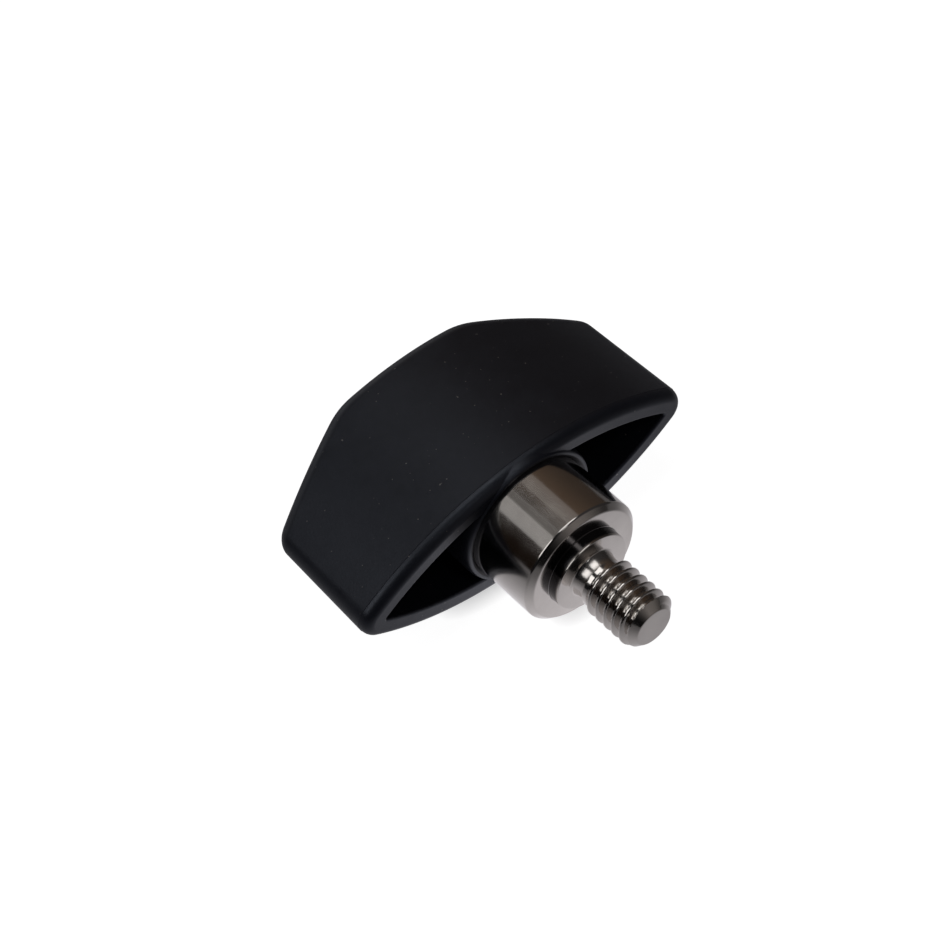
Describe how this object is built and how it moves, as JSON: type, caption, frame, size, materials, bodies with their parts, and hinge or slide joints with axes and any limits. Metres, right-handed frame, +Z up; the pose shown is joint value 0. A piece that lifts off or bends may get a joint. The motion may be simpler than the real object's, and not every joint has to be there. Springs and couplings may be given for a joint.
{
  "type": "wing screw",
  "caption": "Hollow moulded wing grip on a plated shoulder stud with a pilot step, relief neck and male thread.",
  "frame": {"origin": "on the stud's axis, in the plane of the collar's end face, which bears on the part the screw goes into", "axes": "the screw lies on its side, as on a bench: -Y along the stud to its threaded tip, +Y back through the wing, X along the wing's length, +Z up through its thickness"},
  "size_m": [0.0518, 0.0473, 0.0202],
  "materials": {
    "wing": "black moulded nylon with a fine grain",
    "stud": "bright nickel plate over turned steel"
  },
  "bodies": {
    "root": {"wing": "wing", "stud": "stud"}
  },
  "joints": []
}
